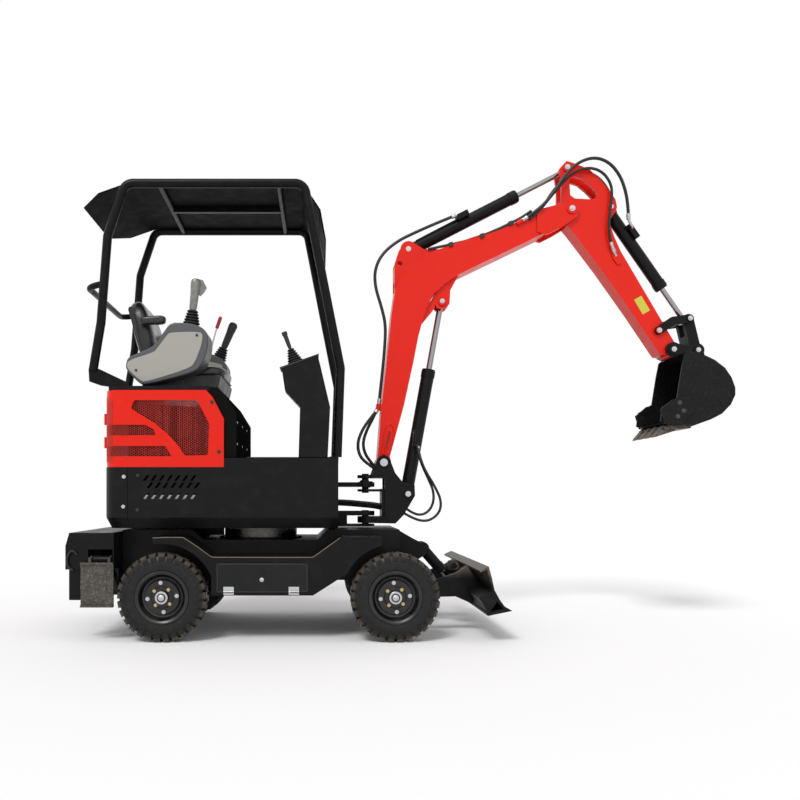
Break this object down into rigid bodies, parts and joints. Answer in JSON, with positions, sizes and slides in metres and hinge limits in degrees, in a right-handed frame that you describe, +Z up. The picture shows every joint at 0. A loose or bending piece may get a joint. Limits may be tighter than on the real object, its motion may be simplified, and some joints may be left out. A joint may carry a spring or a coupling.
{
  "type": "wheeled mini excavator",
  "caption": "Small wheeled excavator with open canopy, slewing house, swinging boom, arm, bucket, dozer blade and folding rear stabilisers.",
  "frame": {"origin": "floor level under the middle of the machine's overall box", "axes": "+X forward to the bucket, +Y to the machine's left, +Z up"},
  "size_m": [3.668, 1.2, 2.7036],
  "materials": {
    "red_paint": "gloss",
    "black_paint": "satin",
    "tyre": "matte",
    "rim_paint": "satin",
    "chrome_rod": "polished",
    "worn_steel": "worn",
    "grey_plastic": "matte",
    "dark_plastic": "matte",
    "vinyl": "matte",
    "hose_rubber": "satin",
    "cast_iron": "matte"
  },
  "bodies": {
    "chassis": {"chassis_frame": "black_paint", "mudguard_right": "black_paint", "mudguard_left": "black_paint", "toolbox_right": "black_paint", "toolbox_left": "black_paint", "rear_axle": "black_paint", "front_axle": "black_paint", "stabiliser_housing": "black_paint", "slew_ring": "black_paint"},
    "blade": {"blade": "black_paint"},
    "blade_barrel": {"blade_cylinder_barrel": "black_paint"},
    "blade_rod": {"blade_cylinder_rod": "chrome_rod"},
    "house": {"house_frame": "black_paint", "counterweight": "cast_iron", "engine_cover": "red_paint", "cover_lid": "black_paint", "engine_block": "cast_iron", "canopy_frame": "black_paint", "canopy_roof": "black_paint", "seat_base": "black_paint", "seat": "vinyl", "console_right": "grey_plastic", "console_left": "grey_plastic", "joystick_right": "dark_plastic", "joystick_left": "dark_plastic", "front_console": "black_paint", "front_lever": "dark_plastic", "cover_grilles": "red_paint"},
    "rear_door": {"rear_door": "red_paint"},
    "swing_bracket": {"swing_bracket": "black_paint"},
    "boom": {"boom": "red_paint", "boom_bracket": "red_paint", "hose_tips": "hose_rubber", "hose_feed": "hose_rubber"},
    "boom_barrel": {"boom_cylinder_barrel": "black_paint"},
    "boom_rod": {"boom_cylinder_rod": "chrome_rod"},
    "arm_barrel": {"arm_cylinder_barrel": "black_paint"},
    "arm_rod": {"arm_cylinder_rod": "chrome_rod"},
    "arm": {"arm": "red_paint"},
    "bucket_barrel": {"bucket_cylinder_barrel": "black_paint"},
    "bucket_rod": {"bucket_cylinder_rod": "chrome_rod"},
    "rocker": {"rocker": "black_paint"},
    "bucket_link": {"bucket_link": "black_paint"},
    "bucket": {"bucket": "black_paint"},
    "toolbox_door_right": {"toolbox_door_right": "black_paint"},
    "knuckle_right": {"knuckle_right": "black_paint"},
    "stabiliser_leg_right": {"stabiliser_leg_right": "black_paint"},
    "stabiliser_pad_right": {"stabiliser_pad_right": "worn_steel"},
    "wheel_front_right": {"tyre_front_right": "tyre", "rim_front_right": "rim_paint"},
    "wheel_rear_right": {"tyre_rear_right": "tyre", "rim_rear_right": "rim_paint"},
    "toolbox_door_left": {"toolbox_door_left": "black_paint"},
    "knuckle_left": {"knuckle_left": "black_paint"},
    "stabiliser_leg_left": {"stabiliser_leg_left": "black_paint"},
    "stabiliser_pad_left": {"stabiliser_pad_left": "worn_steel"},
    "wheel_front_left": {"tyre_front_left": "tyre", "rim_front_left": "rim_paint"},
    "wheel_rear_left": {"tyre_rear_left": "tyre", "rim_rear_left": "rim_paint"}
  },
  "joints": [
    {"name": "slew", "type": "hinge", "parent": "chassis", "child": "house", "pos_m": [-0.86, 0, 0.587], "axis": [0, 0, 1], "continuous": true},
    {"name": "boom_swing", "type": "hinge", "parent": "house", "child": "swing_bracket", "pos_m": [-0.25, 0, 0.82], "axis": [0, 0, 1], "range_deg": [-50, 60]},
    {"name": "boom", "type": "hinge", "parent": "swing_bracket", "child": "boom", "pos_m": [-0.149, 0, 0.95], "axis": [0, -1, 0], "range_deg": [-62, 14]},
    {"name": "boom_barrel_hinge", "type": "hinge", "parent": "swing_bracket", "child": "boom_barrel", "pos_m": [-0.01, 0, 0.77], "axis": [0, -1, 0], "range_deg": [-59, 15]},
    {"name": "boom_rod_slide", "type": "slide", "parent": "boom_barrel", "child": "boom_rod", "axis": [0.1783, 0, 0.984], "range_m": [-0.2219, 0.0524]},
    {"name": "arm", "type": "hinge", "parent": "boom", "child": "arm", "pos_m": [0.935, 0, 2.412], "axis": [0, 1, 0], "range_deg": [-50, 30]},
    {"name": "arm_barrel_hinge", "type": "hinge", "parent": "boom", "child": "arm_barrel", "pos_m": [-0.003, 0, 2.188], "axis": [0, 1, 0], "range_deg": [-4, 3]},
    {"name": "arm_rod_slide", "type": "slide", "parent": "arm_barrel", "child": "arm_rod", "axis": [0.8897, 0, 0.4565], "range_m": [-0.2018, 0.1223]},
    {"name": "bucket", "type": "hinge", "parent": "arm", "child": "bucket", "pos_m": [1.521, 0, 1.603], "axis": [0, 1, 0], "range_deg": [-35, 75]},
    {"name": "rocker", "type": "hinge", "parent": "arm", "child": "rocker", "pos_m": [1.44, 0, 1.713], "axis": [0, 1, 0], "range_deg": [-24, 49]},
    {"name": "bucket_link_hinge", "type": "hinge", "parent": "rocker", "child": "bucket_link", "pos_m": [1.617, 0, 1.782], "axis": [0, 1, 0], "range_deg": [-22, 11]},
    {"name": "bucket_barrel_hinge", "type": "hinge", "parent": "arm", "child": "bucket_barrel", "pos_m": [1.166, 0, 2.431], "axis": [0, 1, 0], "range_deg": [-3, 6]},
    {"name": "bucket_rod_slide", "type": "slide", "parent": "bucket_barrel", "child": "bucket_rod", "axis": [0.5707, 0, -0.8212], "range_m": [-0.0684, 0.1431]},
    {"name": "blade", "type": "hinge", "parent": "chassis", "child": "blade", "pos_m": [0.02, 0, 0.25], "axis": [0, -1, 0], "range_deg": [-28, 10]},
    {"name": "blade_barrel_hinge", "type": "hinge", "parent": "chassis", "child": "blade_barrel", "pos_m": [0.081, 0, 0.456], "axis": [0, -1, 0], "range_deg": [-16, 7]},
    {"name": "blade_rod_slide", "type": "slide", "parent": "blade_barrel", "child": "blade_rod", "axis": [0.6557, 0, -0.755], "range_m": [-0.033, 0.087]},
    {"name": "steer_right", "type": "hinge", "parent": "chassis", "child": "knuckle_right", "pos_m": [-0.125, -0.425, 0.2325], "axis": [0, 0, 1], "range_deg": [-25, 25]},
    {"name": "steer_left", "type": "hinge", "parent": "chassis", "child": "knuckle_left", "pos_m": [-0.125, 0.425, 0.2325], "axis": [0, 0, 1], "range_deg": [-25, 25]},
    {"name": "wheel_front_right", "type": "hinge", "parent": "knuckle_right", "child": "wheel_front_right", "pos_m": [-0.125, -0.519, 0.2325], "axis": [0, 1, 0], "continuous": true},
    {"name": "wheel_rear_right", "type": "hinge", "parent": "chassis", "child": "wheel_rear_right", "pos_m": [-1.333, -0.519, 0.2325], "axis": [0, 1, 0], "continuous": true},
    {"name": "toolbox_door_right", "type": "hinge", "parent": "chassis", "child": "toolbox_door_right", "pos_m": [-0.814, -0.5665, 0.262], "axis": [1, 0, 0], "range_deg": [0, 95]},
    {"name": "stabiliser_leg_right", "type": "hinge", "parent": "chassis", "child": "stabiliser_leg_right", "pos_m": [-1.66, -0.25, 0.24], "axis": [1, 0, 0], "range_deg": [0, 75]},
    {"name": "stabiliser_pad_right", "type": "hinge", "parent": "stabiliser_leg_right", "child": "stabiliser_pad_right", "pos_m": [-1.66, -0.505, 0.425], "axis": [1, 0, 0], "range_deg": [-1, 16]},
    {"name": "wheel_front_left", "type": "hinge", "parent": "knuckle_left", "child": "wheel_front_left", "pos_m": [-0.125, 0.519, 0.2325], "axis": [0, 1, 0], "continuous": true},
    {"name": "wheel_rear_left", "type": "hinge", "parent": "chassis", "child": "wheel_rear_left", "pos_m": [-1.333, 0.519, 0.2325], "axis": [0, 1, 0], "continuous": true},
    {"name": "toolbox_door_left", "type": "hinge", "parent": "chassis", "child": "toolbox_door_left", "pos_m": [-0.814, 0.5665, 0.262], "axis": [-1, 0, 0], "range_deg": [0, 95]},
    {"name": "stabiliser_leg_left", "type": "hinge", "parent": "chassis", "child": "stabiliser_leg_left", "pos_m": [-1.66, 0.25, 0.24], "axis": [-1, 0, 0], "range_deg": [0, 75]},
    {"name": "stabiliser_pad_left", "type": "hinge", "parent": "stabiliser_leg_left", "child": "stabiliser_pad_left", "pos_m": [-1.66, 0.505, 0.425], "axis": [-1, 0, 0], "range_deg": [-1, 16]},
    {"name": "rear_door", "type": "hinge", "parent": "house", "child": "rear_door", "pos_m": [-1.669, -0.384, 1.114], "axis": [0, 0, 1], "range_deg": [0, 100]}
  ],
  "couplings": [
    {"joint": "boom_barrel_hinge", "follows": "boom", "ratio": 0.9304},
    {"joint": "boom_rod_slide", "follows": "boom", "m_per_rad": 0.20226},
    {"joint": "arm_barrel_hinge", "follows": "arm", "ratio": 0.0536},
    {"joint": "arm_rod_slide", "follows": "arm", "m_per_rad": 0.22785},
    {"joint": "rocker", "follows": "bucket", "ratio": 0.64},
    {"joint": "bucket_link_hinge", "follows": "bucket", "ratio": -0.274},
    {"joint": "bucket_barrel_hinge", "follows": "bucket", "ratio": 0.059},
    {"joint": "bucket_rod_slide", "follows": "bucket", "m_per_rad": 0.107},
    {"joint": "blade_barrel_hinge", "follows": "blade", "ratio": 0.5329},
    {"joint": "blade_rod_slide", "follows": "blade", "m_per_rad": -0.17},
    {"joint": "steer_left", "follows": "steer_right", "ratio": 1},
    {"joint": "stabiliser_pad_right", "follows": "stabiliser_leg_right", "ratio": 0.2},
    {"joint": "stabiliser_pad_left", "follows": "stabiliser_leg_left", "ratio": 0.2}
  ]
}
